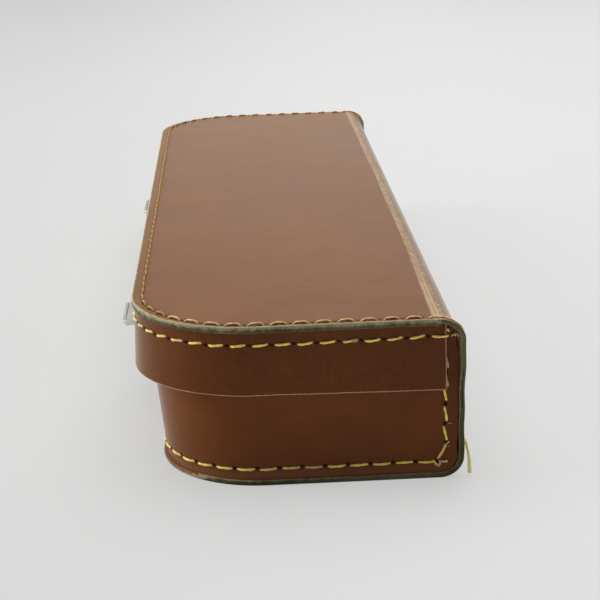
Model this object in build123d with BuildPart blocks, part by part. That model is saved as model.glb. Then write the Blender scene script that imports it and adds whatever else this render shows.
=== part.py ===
"""Flute case in stitched leather, built at its real size in millimetres.

One leather sheet wraps the underside and the back and ends in a narrow strip on top. The lid
hinges on a crease in front of that strip. The lid's band telescopes over the wall of the base.
Two sprung hasps on the band close over two slide locks, and a bail handle hangs between them.

Origin: the middle of the footprint, on the underside. +X points to the hinge side, +Y along the
case and +Z up.
"""
import os
from math import atan2, cos, radians, sin, tan

from build123d import *

# Case
case_length = 400.0
case_height = 60.0
lid_width = 116.0
base_setback = 9.0
leather = 2.4
lid_corner = 44.0
base_corner = 37.0
top_fold = 8.0
bottom_fold = 8.0
crease_from_back = 9.5
crease_gap = 0.3
end_slant = 2.5
edge_round = 0.5
face_gap = 0.3

# Lid band and base wall
band_height = 22.6
band_flare = 1.0
band_end_from_back = 6.2
wall_lean = 5.5
wall_inset = 1.1
wall_to_band_gap = 0.3
wall_below_lid = 3.6
wall_corner_growth = 2.0

# Stitching
thread_radius = 0.45
thread_lift = 0.03
stitch_pitch = 7.7
stitch_length = 5.4
band_row_drop = 4.6
top_row_front_inset = 5.0
top_row_end_inset = 3.5
top_row_to_crease = 3.2
base_row_height = 6.3
groove_inset = 4.5
groove_width = 1.6
groove_depth = 1.1
seam_from_back = 6.5
upper_seam_from_back = 4.9
back_row_inset = 5.6
seam_start_height = 13.0
tail_radius = 0.5
tail_top = 15.8
tail_drop = 13.0
tail_reach = 2.0

# Linings and cradles
lining = 1.5
lining_gap = 0.1
lining_below_wall = 2.0
cradle_gap = 0.4
cradle_top = 38.0
body_row_width = 48.0
foot_row_length = 133.0
trough_depth = 26.0
body_trough = 34.0
head_trough = 30.0
foot_trough = 32.0
body_trough_margin = 7.5
front_trough_margin = 9.5
trough_divider = 4.5
trough_to_divider = 4.0
lid_board = 1.8
pad_thickness = 5.2
pad_margin = 2.6

# Hasps and slide locks
latch_offset = 92.0
hasp_width = 26.0
hasp_reach = 6.4
hasp_thickness = 1.2
hasp_corner = 2.5
lip_radius = 0.85
knuckle_radius = 1.7
pin_radius = 0.8
pin_play = 0.05
hinge_standoff = 1.6
hasp_knuckle_half = 6.7
plate_to_knuckle = 0.5
coil_half = 2.4
coil_wire = 0.2
coil_radius = 1.15
coil_pitch = 0.6
leaf_thickness = 1.0
leaf_height = 15.0
leaf_corner = 3.0
leaf_rivet_spread = 8.5
leaf_rivet_height = 9.5
lug_thickness = 1.5
lug_depth = 5.2
lug_root = 2.6
bolt_radius = 0.8
bolt_gap = 0.3
bolt_from_axis = 4.4
bolt_behind_hasp = 3.6
lock_width = 30.0
lock_height = 14.0
lock_depth = 6.2
lock_proud = 0.2
lock_wall = 1.0
lock_round = 0.8
lock_ear = 4.5
slide_width = 5.0
slide_offset = 6.0
slide_travel = 4.0
slide_thickness = 2.7
knob_stem = 2.4
knob_height = 4.8
knob_width = 4.6
knob_thickness = 1.6
bow_strip = 0.3
bow_height = 7.0
rivet_head = 2.0
rivet_head_height = 0.9
rivet_crown = 0.8
rivet_shank = 1.0
rivet_play = 0.02

# Handle
handle_span = 84.0
handle_below_band = 7.0
grip_height = 9.5
handle_wire = 1.8
handle_bend = 5.0
handle_standoff = 3.2
handle_play = 0.1
stub_head = 1.5
grip_length = 66.0
grip_radius = 5.0
grip_end_radius = 4.1
mount_width = 16.0
mount_height = 15.0
mount_plate = 1.2
mount_centre = 8.5
mount_corner = 3.0
mount_rivet_spread = 5.0
ear_width = 5.0
ear_wall = 1.4

# Planes and levels that follow from the sizes above
back_x = lid_width / 2
front_x = -lid_width / 2
end_y = case_length / 2
base_front = front_x + base_setback
lid_underside = case_height - leather
crease_x = back_x - crease_from_back
lid_back = crease_x - crease_gap / 2
strip_front = crease_x + crease_gap / 2
band_bottom = lid_underside - band_height
band_back = back_x - band_end_from_back
wall_end = band_flare + leather + wall_to_band_gap
wall_top = lid_underside - wall_below_lid
lean = tan(radians(wall_lean))


def wall_face(height):
    """X of the base wall's outer face at a height."""
    return base_front + wall_inset - lean * (height - leather)


def plan(level, front, back, end_inset, corner):
    """Plan outline at a level: square at the back, rounded at both front corners."""
    with BuildSketch(Plane.XY.offset(level)) as outline:
        with Locations(((front + back) / 2, 0)):
            Rectangle(back - front, case_length - 2 * end_inset)
        fillet(outline.vertices().group_by(Axis.X)[0], corner)
    return outline.sketch


def sheet_section(inset):
    """Upright section inside the leather wrap, rounded at both back folds."""
    with BuildSketch(Plane.XZ) as section:
        with Locations((-inset / 2, case_height / 2)):
            Rectangle(lid_width - inset, case_height - 2 * inset)
        fillet(section.vertices().group_by(Axis.X)[-1].sort_by(Axis.Y)[0], bottom_fold - inset)
        fillet(section.vertices().group_by(Axis.X)[-1].sort_by(Axis.Y)[-1], top_fold - inset)
    return section.sketch


def stitch_planes(points, corner, pitch=stitch_pitch):
    """Evenly spaced planes along a seam, each with its normal along the thread."""
    if corner:
        with BuildLine() as row:
            FilletPolyline(*points, radius=corner)
    else:
        with BuildLine() as row:
            Line(*points)
    seam = row.wires()[0]
    count = int(seam.length // pitch)
    places = [(index + 0.5) / count for index in range(count)]
    return [Plane(seam.position_at(place), z_dir=seam.tangent_at(place)) for place in places]


def case_row(level, front, end_inset, back):
    """Corner points of a seam that runs along both ends and the front."""
    side = end_y - end_inset
    return [(back, -side, level), (front, -side, level), (front, side, level), (back, side, level)]


# Hasp hinge, slide lock and handle places
latch_rows = {"near": -latch_offset, "far": latch_offset}
handle_rows = {"near": -1, "far": 1}
axis_x = front_x - hinge_standoff
axis_z = band_bottom - face_gap - knuckle_radius
lock_front = front_x - lock_proud
lock_seat = lock_front + lock_depth
lock_top = axis_z - knuckle_radius - face_gap
lock_bottom = lock_top - lock_height
lock_middle = (lock_top + lock_bottom) / 2
bolt_x = axis_x + bolt_behind_hasp
bolt_z = axis_z - bolt_from_axis
slide_front = lock_front + lock_wall + face_gap
slide_back = slide_front + slide_thickness
knob_z = axis_z - hasp_reach - knob_height / 2 - 2 * face_gap
lug_tip = hasp_reach - lip_radius / 4
handle_pivot_height = band_bottom - handle_below_band
mount_top = handle_pivot_height + mount_height / 3
mount_bottom = mount_top - mount_height
mount_front = wall_face(mount_top) - mount_plate
mount_y = handle_span / 2 + mount_centre
pivot_x = mount_front - handle_standoff
mount_rivet_z = mount_bottom + rivet_head + face_gap


def band_plane(latch_y, across, up):
    """Plane on a hasp leaf's outer face, its normal out of the tilted band."""
    tilt = atan2(band_flare, band_height)
    face = Plane((front_x, latch_y, band_bottom), x_dir=(0, -1, 0), z_dir=(-cos(tilt), 0, sin(tilt)))
    place = face.from_local_coords((across, up, leaf_thickness))
    return Plane(place, x_dir=face.x_dir, z_dir=face.z_dir)


def front_plane(x, y, z):
    """Upright plane across the front of the case, its normal out of the case."""
    return Plane((x, y, z), x_dir=(0, -1, 0), z_dir=(-1, 0, 0))


leaf_rivets = [band_plane(row, side * leaf_rivet_spread, leaf_rivet_height)
               for row in latch_rows.values() for side in (-1, 1)]
lock_rivet_spread = lock_width / 2 + lock_ear / 2
lock_rivet_planes = [front_plane(lock_seat, row + side * lock_rivet_spread, lock_middle)
                     for row in latch_rows.values() for side in (-1, 1)]
mount_rivet_planes = [front_plane(mount_front, row * mount_y + side * mount_rivet_spread, mount_rivet_z)
                      for row in handle_rows.values() for side in (-1, 1)]


def rivet_holes(planes, depth):
    """Round solids that cut rivet holes, each running this deep to both sides of its plane."""
    with BuildPart() as holes:
        for plane in planes:
            with BuildSketch(plane):
                Circle(rivet_shank + rivet_play)
            extrude(amount=depth, both=True)
    return holes.part


def make_rivet(plane, grip):
    """Domed rivet: its head stands on the plane and its shank goes back through the grip."""
    with BuildPart() as rivet:
        with BuildSketch(plane):
            Circle(rivet_head)
        extrude(amount=rivet_head_height)
        crown = rivet.faces().sort_by(Axis(plane.origin, plane.z_dir))[-1]
        fillet(crown.edges(), rivet_head_height * rivet_crown)
        with BuildSketch(plane):
            Circle(rivet_shank)
        extrude(amount=-grip)
    return rivet.part


# Lid
with BuildPart() as lid_top:
    extrude(plan(lid_underside, front_x, lid_back, 0, lid_corner), amount=leather)
    fillet(lid_top.edges().group_by(Axis.Z)[-1].sort_by(Axis.X)[:-1], edge_round)

with BuildPart() as lid_band:
    loft([
        plan(band_bottom, front_x, band_back, 0, lid_corner),
        plan(lid_underside, front_x + band_flare, band_back, band_flare, lid_corner - band_flare),
    ])
    loft([
        plan(band_bottom, front_x + leather, back_x, leather, lid_corner - leather),
        plan(lid_underside, front_x + band_flare + leather, back_x, band_flare + leather,
             lid_corner - band_flare - leather),
    ], mode=Mode.SUBTRACT)
    with BuildSketch(Plane.XY.offset(lid_underside - face_gap)):
        with Locations(((lid_back + back_x) / 2, 0)):
            Rectangle(back_x - lid_back, case_length)
    extrude(amount=face_gap, mode=Mode.SUBTRACT)
    add(rivet_holes(leaf_rivets, 3 * leather), mode=Mode.SUBTRACT)

lid_lining_end = band_flare + leather + cradle_gap
with BuildPart() as lid_lining:
    extrude(plan(lid_underside - lid_board, front_x + lid_lining_end, lid_back - lid_board,
                 lid_lining_end, lid_corner - lid_lining_end), amount=lid_board)

pad_inset = wall_end + leather + lining_gap + lining + pad_margin
pad_front = wall_face(wall_top) + leather + lining_gap + lining + pad_margin
with BuildPart() as lid_pad:
    extrude(plan(lid_underside - lid_board - pad_thickness, pad_front, lid_back - pad_thickness,
                 pad_inset, base_corner - pad_inset + wall_inset), amount=pad_thickness)

# Leather wrap: underside, back and the strip behind the crease
with BuildPart() as body_wrap:
    extrude(sheet_section(0), amount=end_y, both=True)
    extrude(sheet_section(leather), amount=end_y, both=True, mode=Mode.SUBTRACT)
    with BuildSketch(Plane.XZ):
        with Locations(((front_x + base_front) / 2, case_height / 2)):
            Rectangle(base_front - front_x, case_height)
        with Locations(((front_x + strip_front) / 2, case_height - leather / 2)):
            Rectangle(strip_front - front_x, leather)
    extrude(amount=end_y, both=True, mode=Mode.SUBTRACT)
    fillet(body_wrap.edges().filter_by(Axis.Z).group_by(Axis.X)[0], base_corner)
    with BuildSketch(Plane.YZ):
        with BuildLine():
            Polyline((end_slant - end_y, 0), (end_y - end_slant, 0), (end_y, case_height),
                     (-end_y, case_height), close=True)
        make_face()
    extrude(amount=lid_width, both=True, mode=Mode.INTERSECT)
    with BuildSketch():
        add(plan(0, base_front + groove_inset - groove_width / 2, back_x - bottom_fold,
                 end_slant + groove_inset - groove_width / 2, base_corner - groove_inset))
        add(plan(0, base_front + groove_inset + groove_width / 2, back_x,
                 end_slant + groove_inset + groove_width / 2,
                 base_corner - groove_inset - groove_width), mode=Mode.SUBTRACT)
    extrude(amount=groove_depth, mode=Mode.SUBTRACT)

with BuildPart() as base_wall:
    loft([
        plan(leather, wall_face(leather), back_x, wall_end, base_corner - wall_inset),
        plan(lid_underside, wall_face(lid_underside), back_x, wall_end,
             base_corner - wall_inset + wall_corner_growth),
    ])
    loft([
        plan(leather, wall_face(leather) + leather, back_x, wall_end + leather,
             base_corner - wall_inset - leather),
        plan(lid_underside, wall_face(lid_underside) + leather, back_x, wall_end + leather,
             base_corner - wall_inset - leather + wall_corner_growth),
    ], mode=Mode.SUBTRACT)
    with BuildSketch(Plane.XZ):
        with Locations(((front_x + strip_front) / 2, (wall_top + case_height) / 2)):
            Rectangle(strip_front - front_x, case_height - wall_top)
    extrude(amount=end_y, both=True, mode=Mode.SUBTRACT)
    extrude(sheet_section(leather), amount=end_y, both=True, mode=Mode.INTERSECT)
    add(rivet_holes(lock_rivet_planes + mount_rivet_planes, 3 * leather), mode=Mode.SUBTRACT)

# Threads
thread_out = thread_radius + thread_lift
band_row_level = lid_underside - band_row_drop
band_row_inset = band_flare * (band_row_level - band_bottom) / band_height - thread_out
with BuildPart() as lid_band_stitching:
    with Locations(*stitch_planes(
            case_row(band_row_level, front_x + band_row_inset, band_row_inset, band_back),
            lid_corner - band_row_inset)):
        Cylinder(thread_radius, stitch_length)

with BuildPart() as lid_top_stitching:
    with Locations(*stitch_planes(
            case_row(case_height + thread_out, front_x + top_row_front_inset, top_row_end_inset,
                     lid_back - top_row_to_crease),
            lid_corner - top_row_front_inset)):
        Cylinder(thread_radius, stitch_length)

wall_row_end = wall_end - thread_out
upper_seam = [(band_bottom + stitch_pitch / 2, back_x - upper_seam_from_back),
              (lid_underside - stitch_pitch / 2, back_x - upper_seam_from_back)]
lower_seam = [(seam_start_height, back_x - seam_from_back),
              (band_bottom, back_x - seam_from_back)]
with BuildPart() as base_stitching:
    with Locations(*stitch_planes(
            case_row(base_row_height, wall_face(base_row_height) - thread_out, wall_row_end,
                     back_x - seam_from_back),
            base_corner - wall_inset)):
        Cylinder(thread_radius, stitch_length)
    for side in (-1, 1):
        row_y = side * (end_y - wall_row_end)
        for (low, low_x), (high, high_x) in (lower_seam, upper_seam):
            with Locations(*stitch_planes([(low_x, row_y, low), (high_x, row_y, high)], 0)):
                Cylinder(thread_radius, stitch_length)

with BuildPart() as back_stitching:
    for side in (-1, 1):
        row_y = side * (end_y - back_row_inset)
        row_x = back_x + thread_out
        with Locations(*stitch_planes([(row_x, row_y, bottom_fold),
                                       (row_x, row_y, case_height - top_fold)], 0)):
            Cylinder(thread_radius, stitch_length)

with BuildPart() as underside_stitching:
    with Locations(*stitch_planes(
            case_row(groove_depth - thread_out, base_front + groove_inset,
                     end_slant + groove_inset, back_x - bottom_fold - stitch_pitch / 2),
            base_corner - groove_inset - groove_width / 2)):
        Cylinder(thread_radius, stitch_length)

tail_y = back_row_inset - end_y - thread_radius - tail_radius - face_gap
with BuildPart() as thread_tail:
    with BuildLine() as tail_path:
        ThreePointArc((back_x + thread_out, tail_y, tail_top),
                      (back_x + tail_reach, tail_y, tail_top - tail_drop / 2),
                      (back_x + tail_reach + thread_out, tail_y, tail_top - tail_drop))
    with BuildSketch(Plane(tail_path.line @ 0, z_dir=tail_path.line % 0)):
        Circle(tail_radius)
    sweep()

# Linings
lining_end = wall_end + leather + lining_gap
floor_top = leather + lining
lining_top = wall_top - lining_below_wall
lining_back = back_x - leather - lining_gap
with BuildPart() as floor_lining:
    extrude(plan(leather, wall_face(leather) + leather + lining_gap, back_x - bottom_fold,
                 lining_end, base_corner - wall_inset - leather - lining_gap), amount=lining)

with BuildPart() as wall_lining:
    loft([
        plan(floor_top, wall_face(floor_top) + leather + lining_gap,
             lining_back - lining - lining_gap, lining_end,
             base_corner - wall_inset - leather - lining_gap),
        plan(lining_top, wall_face(lining_top) + leather + lining_gap,
             lining_back - lining - lining_gap, lining_end,
             base_corner - wall_inset - leather - lining_gap + wall_corner_growth),
    ])
    loft([
        plan(floor_top, wall_face(floor_top) + leather + lining_gap + lining, back_x,
             lining_end + lining, base_corner - wall_inset - leather - lining_gap - lining),
        plan(lining_top, wall_face(lining_top) + leather + lining_gap + lining, back_x,
             lining_end + lining,
             base_corner - wall_inset - leather - lining_gap - lining + wall_corner_growth),
    ], mode=Mode.SUBTRACT)
    with BuildSketch(Plane.XZ):
        with Locations((back_x, bottom_fold / 2)):
            Rectangle(2 * bottom_fold, bottom_fold)
    extrude(amount=end_y, both=True, mode=Mode.SUBTRACT)

with BuildPart() as back_lining:
    with BuildSketch(Plane.XZ):
        with Locations((lining_back - lining / 2, (bottom_fold + lining_top) / 2)):
            Rectangle(lining, lining_top - bottom_fold)
    extrude(amount=end_y - lining_end, both=True)

# Cradles for the three joints of the flute
cradle_end = lining_end + lining + cradle_gap
cradle_back = lining_back - lining - cradle_gap
cradle_front = wall_face(floor_top) + leather + lining_gap + lining + cradle_gap
cradle_corner = base_corner - wall_inset - leather - lining_gap - lining - cradle_gap
divider_x = cradle_back - body_row_width
divider_y = end_y - cradle_end - foot_row_length
trough_floor = cradle_top - trough_depth


def trough(centre, width, near, far):
    """Round-bottomed trough along Y, open at the top of a cradle."""
    with BuildPart() as hollow:
        with BuildSketch(Plane.XZ.offset(-far)):
            with Locations((centre, trough_floor + width / 2)):
                Circle(width / 2)
            with Locations((centre, (trough_floor + width / 2 + cradle_top) / 2)):
                Rectangle(width, cradle_top - trough_floor - width / 2)
        extrude(amount=far - near)
    return hollow.part


body_centre = cradle_back - body_trough_margin - body_trough / 2
front_centre = divider_x - cradle_gap - trough_to_divider - foot_trough / 2
cradle_half = end_y - cradle_end
with BuildPart() as body_cradle:
    with BuildSketch(Plane.XY.offset(floor_top)):
        with Locations(((divider_x + cradle_back) / 2, 0)):
            Rectangle(body_row_width, 2 * cradle_half)
    extrude(amount=cradle_top - floor_top)
    add(trough(body_centre, body_trough, body_trough_margin - cradle_half,
               cradle_half - body_trough_margin), mode=Mode.SUBTRACT)

front_row = plan(floor_top, cradle_front, divider_x - cradle_gap, cradle_end, cradle_corner)
with BuildPart() as head_cradle:
    extrude(front_row, amount=cradle_top - floor_top)
    split(bisect_by=Plane.XZ.offset(cradle_gap / 2 - divider_y))
    add(trough(front_centre, head_trough, front_trough_margin - cradle_half,
               divider_y - trough_divider), mode=Mode.SUBTRACT)

with BuildPart() as foot_cradle:
    extrude(front_row, amount=cradle_top - floor_top)
    split(bisect_by=Plane.XZ.offset(-cradle_gap / 2 - divider_y), keep=Keep.BOTTOM)
    add(trough(front_centre, foot_trough, divider_y + trough_divider,
               cradle_half - front_trough_margin), mode=Mode.SUBTRACT)


# Hasps on the lid, one on each side of the handle
def barrel(centre_y, length, radius):
    """Solid cylinder on the hinge axis of a hasp."""
    with BuildPart() as cylinder:
        with Locations((axis_x, centre_y, axis_z)):
            Cylinder(radius, length, rotation=(90, 0, 0))
    return cylinder.part


def make_leaf(latch_y):
    """Plate riveted to the band, rolled into two knuckles below the band's edge."""
    knuckle_length = hasp_width / 2 - hasp_knuckle_half - face_gap
    knuckle_y = hasp_width / 2 - knuckle_length / 2
    with BuildPart() as leaf:
        with BuildSketch(band_plane(latch_y, 0, leaf_height / 2 + face_gap)) as plate:
            Rectangle(hasp_width, leaf_height)
            fillet(plate.vertices().group_by(Axis.Y)[-1], leaf_corner)
        extrude(amount=-leaf_thickness)
        for side in (-1, 1):
            with BuildSketch(band_plane(latch_y, side * knuckle_y, 0)):
                Rectangle(knuckle_length, 2 * hinge_standoff)
            extrude(amount=-leaf_thickness)
            add(barrel(latch_y + side * knuckle_y, knuckle_length, knuckle_radius))
        add(barrel(latch_y, 2 * hasp_width, pin_radius + pin_play), mode=Mode.SUBTRACT)
        add(rivet_holes([band_plane(latch_y, side * leaf_rivet_spread, leaf_rivet_height)
                         for side in (-1, 1)], 2 * leaf_thickness), mode=Mode.SUBTRACT)
    return leaf.part


def make_hasp(latch_y):
    """Hasp standing straight out from the lid, with its bolt lug underneath."""
    root_y = (hasp_knuckle_half + coil_half) / 2
    root_length = hasp_knuckle_half - coil_half
    plate_root = knuckle_radius + plate_to_knuckle
    plate_length = hasp_reach - plate_root
    with BuildPart() as hasp:
        with BuildSketch(Plane.XY.offset(axis_z - hasp_thickness / 2)) as plate:
            with Locations((axis_x - plate_root - plate_length / 2, latch_y)):
                Rectangle(plate_length, hasp_width)
            fillet(plate.vertices().group_by(Axis.X)[0], hasp_corner)
            for side in (-1, 1):
                with Locations((axis_x - plate_root / 2, latch_y + side * root_y)):
                    Rectangle(plate_root, root_length)
        extrude(amount=hasp_thickness)
        with Locations((axis_x - hasp_reach + lip_radius, latch_y, axis_z)):
            Cylinder(lip_radius, hasp_width - 2 * hasp_corner, rotation=(90, 0, 0))
        for side in (-1, 1):
            add(barrel(latch_y + side * root_y, root_length, knuckle_radius))
        add(barrel(latch_y, 2 * hasp_width, pin_radius + pin_play), mode=Mode.SUBTRACT)
        with BuildSketch(Plane.XZ.offset(-latch_y)):
            with Locations((axis_x - (lug_tip + lug_root) / 2, axis_z - lug_depth / 2)):
                Rectangle(lug_tip - lug_root, lug_depth)
            with Locations((axis_x - bolt_from_axis, axis_z - bolt_behind_hasp)):
                Circle(bolt_radius + bolt_gap, mode=Mode.SUBTRACT)
        extrude(amount=lug_thickness / 2, both=True)
    return hasp.part


def make_coil(latch_y):
    """Torsion spring wound round the middle of a hinge pin."""
    height = 2 * (coil_half - 2 * coil_wire - face_gap)
    with BuildPart() as coil:
        with BuildLine() as turns:
            Helix(coil_pitch, height, coil_radius, center=(axis_x, latch_y - height / 2, axis_z),
                  direction=(0, 1, 0))
        with BuildSketch(Plane(turns.line @ 0, z_dir=turns.line % 0)):
            Circle(coil_wire)
        sweep(is_frenet=True)
    return coil.part


# Slide locks on the wall of the base
def wall_plate(centre_y, width, front, low, high, corner):
    """Plate with an upright front face whose back lies on the leaning wall."""
    with BuildPart() as plate:
        with BuildSketch(Plane.XZ.offset(-centre_y)):
            with BuildLine():
                Polyline((front, low), (wall_face(low), low), (wall_face(high), high), (front, high),
                         close=True)
            make_face()
        extrude(amount=width / 2, both=True)
        fillet(plate.edges().filter_by(Axis.X), corner)
    return plate.part


def make_lock_base(latch_y):
    """Plate between the wall and the lock's case, with a riveted ear at each end."""
    with BuildPart() as lock_base:
        add(wall_plate(latch_y, lock_width + 2 * lock_ear, lock_seat, lock_bottom, lock_top, lock_ear))
        add(rivet_holes([front_plane(lock_seat, latch_y + side * lock_rivet_spread, lock_middle)
                         for side in (-1, 1)], lock_depth), mode=Mode.SUBTRACT)
    return lock_base.part


def make_lock_case(latch_y):
    """Pressed case, open at the back, with a slot for the lug and one for the knob."""
    stem_y = latch_y + slide_offset + slide_width / 2
    slot_near = stem_y - knob_stem / 2 - slide_travel - face_gap
    slot_far = stem_y + knob_stem / 2 + face_gap
    lug_slot = lug_thickness + 2 * face_gap
    sweep_radius = (lug_tip ** 2 + lug_depth ** 2) ** 0.5
    slot_low = axis_z - sweep_radius - face_gap
    with BuildPart() as lock_case:
        with BuildSketch(front_plane(lock_seat, latch_y, lock_middle)):
            Rectangle(lock_width, lock_height)
        extrude(amount=lock_depth)
        fillet(lock_case.faces().sort_by(Axis.X)[0].edges(), lock_round)
        with BuildSketch(front_plane(lock_seat, latch_y, lock_middle)):
            Rectangle(lock_width - 2 * lock_wall, lock_height - 2 * lock_wall)
        extrude(amount=lock_depth - lock_wall, mode=Mode.SUBTRACT)
        with BuildSketch(front_plane(axis_x + lug_depth + face_gap, latch_y, (slot_low + axis_z) / 2)):
            Rectangle(lug_slot, axis_z - slot_low)
        extrude(amount=lock_depth, mode=Mode.SUBTRACT)
        with BuildSketch(front_plane(slide_front, (slot_near + slot_far) / 2, knob_z)):
            Rectangle(slot_far - slot_near, knob_stem + 2 * face_gap)
        extrude(amount=lock_depth, mode=Mode.SUBTRACT)
    return lock_case.part


def make_slide(latch_y):
    """Slide inside the lock with its thumb knob and the round bolt that enters the lug."""
    slide_y = latch_y + slide_offset + slide_width / 2
    slide_height = lock_height - 2 * lock_wall - 2 * face_gap
    bolt_tip = lug_thickness / 2 + 2 * face_gap
    with BuildPart() as slide:
        with BuildSketch(front_plane(slide_back, slide_y, lock_middle)):
            Rectangle(slide_width, slide_height)
        extrude(amount=slide_thickness)
        with BuildSketch(front_plane(slide_front, slide_y, knob_z)):
            Rectangle(knob_stem, knob_stem)
        extrude(amount=lock_wall + 2 * face_gap)
        with BuildSketch(front_plane(lock_front - face_gap, slide_y, knob_z)):
            RectangleRounded(knob_width, knob_height, knob_stem / 3)
        extrude(amount=knob_thickness)
        with BuildSketch(Plane.XZ.offset(-latch_y - slide_offset - slide_width / 2)):
            with Locations((bolt_x, bolt_z)):
                Circle(bolt_radius)
        extrude(amount=slide_offset + slide_width / 2 - bolt_tip)
    return slide.part


def make_friction_spring(latch_y):
    """Bowed strip that presses the slide against the front of its case."""
    near = latch_y + slide_offset + face_gap
    far = latch_y + slide_offset + slide_width - face_gap
    middle = (near + far) / 2
    crest = lock_seat - face_gap / 2
    with BuildPart() as bow:
        with BuildSketch(Plane.XY.offset(lock_middle - bow_height / 2)):
            with BuildLine():
                ThreePointArc((slide_back, near), (crest, middle), (slide_back, far))
                Line((slide_back, far), (slide_back, far - bow_strip))
                ThreePointArc((slide_back, far - bow_strip), (crest - bow_strip, middle),
                              (slide_back, near + bow_strip))
                Line((slide_back, near + bow_strip), (slide_back, near))
            make_face()
        extrude(amount=bow_height)
    return bow.part


# Bail handle between the locks
def make_mount(side):
    """Riveted plate with the eared bearing for one end of the handle."""
    ear_y = side * (handle_span / 2 + handle_bend + face_gap + ear_width / 2)
    ear_radius = handle_wire + handle_play + ear_wall
    with BuildPart() as mount:
        add(wall_plate(side * mount_y, mount_width, mount_front, mount_bottom, mount_top, mount_corner))
        with BuildSketch(Plane.XZ.offset(-ear_y)):
            with Locations((pivot_x, handle_pivot_height)):
                Circle(ear_radius)
            with Locations(((pivot_x + mount_front) / 2, handle_pivot_height)):
                Rectangle(mount_front - pivot_x, 2 * ear_radius)
            with Locations((pivot_x, handle_pivot_height)):
                Circle(handle_wire + handle_play, mode=Mode.SUBTRACT)
        extrude(amount=ear_width / 2, both=True)
        add(rivet_holes([front_plane(mount_front, side * mount_y + turn * mount_rivet_spread,
                                     mount_rivet_z) for turn in (-1, 1)], lock_depth),
            mode=Mode.SUBTRACT)
    return mount.part


half_span = handle_span / 2
stub_end = half_span + handle_bend + face_gap + ear_width + face_gap
with BuildPart() as handle_bail:
    with BuildLine() as bail_path:
        FilletPolyline(
            (pivot_x, -stub_end, handle_pivot_height), (pivot_x, -half_span, handle_pivot_height),
            (pivot_x, -half_span, grip_height), (pivot_x, half_span, grip_height),
            (pivot_x, half_span, handle_pivot_height), (pivot_x, stub_end, handle_pivot_height),
            radius=handle_bend)
    with BuildSketch(Plane(bail_path.line @ 0, z_dir=bail_path.line % 0)):
        Circle(handle_wire)
    sweep()
    for side in (-1, 1):
        with Locations((pivot_x, side * (stub_end + stub_head / 2), handle_pivot_height)):
            Cylinder(handle_wire + stub_head / 2, stub_head, rotation=(90, 0, 0))

with BuildPart() as handle_grip:
    with BuildSketch(Plane.XY.offset(grip_height)):
        with BuildLine():
            Line((pivot_x + handle_wire, -grip_length / 2), (pivot_x + grip_end_radius, -grip_length / 2))
            ThreePointArc((pivot_x + grip_end_radius, -grip_length / 2), (pivot_x + grip_radius, 0),
                          (pivot_x + grip_end_radius, grip_length / 2))
            Line((pivot_x + grip_end_radius, grip_length / 2), (pivot_x + handle_wire, grip_length / 2))
            Line((pivot_x + handle_wire, grip_length / 2), (pivot_x + handle_wire, -grip_length / 2))
        make_face()
    revolve(axis=Axis((pivot_x, 0, grip_height), (0, 1, 0)))

with BuildPart() as leaf_rivet_set:
    for plane in leaf_rivets:
        add(make_rivet(plane, leaf_thickness + leather))

with BuildPart() as lock_rivet_set:
    for plane in lock_rivet_planes:
        add(make_rivet(plane, wall_face(lock_middle) + leather - lock_seat))

with BuildPart() as handle_rivet_set:
    for plane in mount_rivet_planes:
        add(make_rivet(plane, wall_face(mount_rivet_z) + leather - mount_front))

# Every piece with the name of its node
pieces = {
    "lid_top": lid_top.part,
    "lid_band": lid_band.part,
    "lid_lining": lid_lining.part,
    "lid_pad": lid_pad.part,
    "lid_band_stitching": lid_band_stitching.part,
    "lid_top_stitching": lid_top_stitching.part,
    "body_wrap": body_wrap.part,
    "base_wall": base_wall.part,
    "base_stitching": base_stitching.part,
    "back_stitching": back_stitching.part,
    "underside_stitching": underside_stitching.part,
    "thread_tail": thread_tail.part,
    "floor_lining": floor_lining.part,
    "wall_lining": wall_lining.part,
    "back_lining": back_lining.part,
    "body_cradle": body_cradle.part,
    "head_cradle": head_cradle.part,
    "foot_cradle": foot_cradle.part,
    "handle_bail": handle_bail.part,
    "handle_grip": handle_grip.part,
    "hasp_leaf_rivets": leaf_rivet_set.part,
    "lock_rivets": lock_rivet_set.part,
    "handle_rivets": handle_rivet_set.part,
}
for name, row in latch_rows.items():
    pieces["hasp_leaf_" + name] = make_leaf(row)
    pieces["hasp_pin_" + name] = barrel(row, hasp_width, pin_radius)
    pieces["hasp_" + name] = make_hasp(row)
    pieces["hasp_spring_" + name] = make_coil(row)
    pieces["lock_base_" + name] = make_lock_base(row)
    pieces["lock_case_" + name] = make_lock_case(row)
    pieces["lock_slide_" + name] = make_slide(row)
    pieces["slide_spring_" + name] = make_friction_spring(row)
for name, side in handle_rows.items():
    pieces["handle_mount_" + name] = make_mount(side)

os.makedirs("parts", exist_ok=True)
for name, part in pieces.items():
    part.label = name
    export_step(part, "parts/" + name + ".step")
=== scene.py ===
"""Looks of a stitched leather flute case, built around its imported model. Lengths in metres."""
import math

import bmesh
import bpy
import numpy as np
from mathutils import Matrix, Vector


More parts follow.
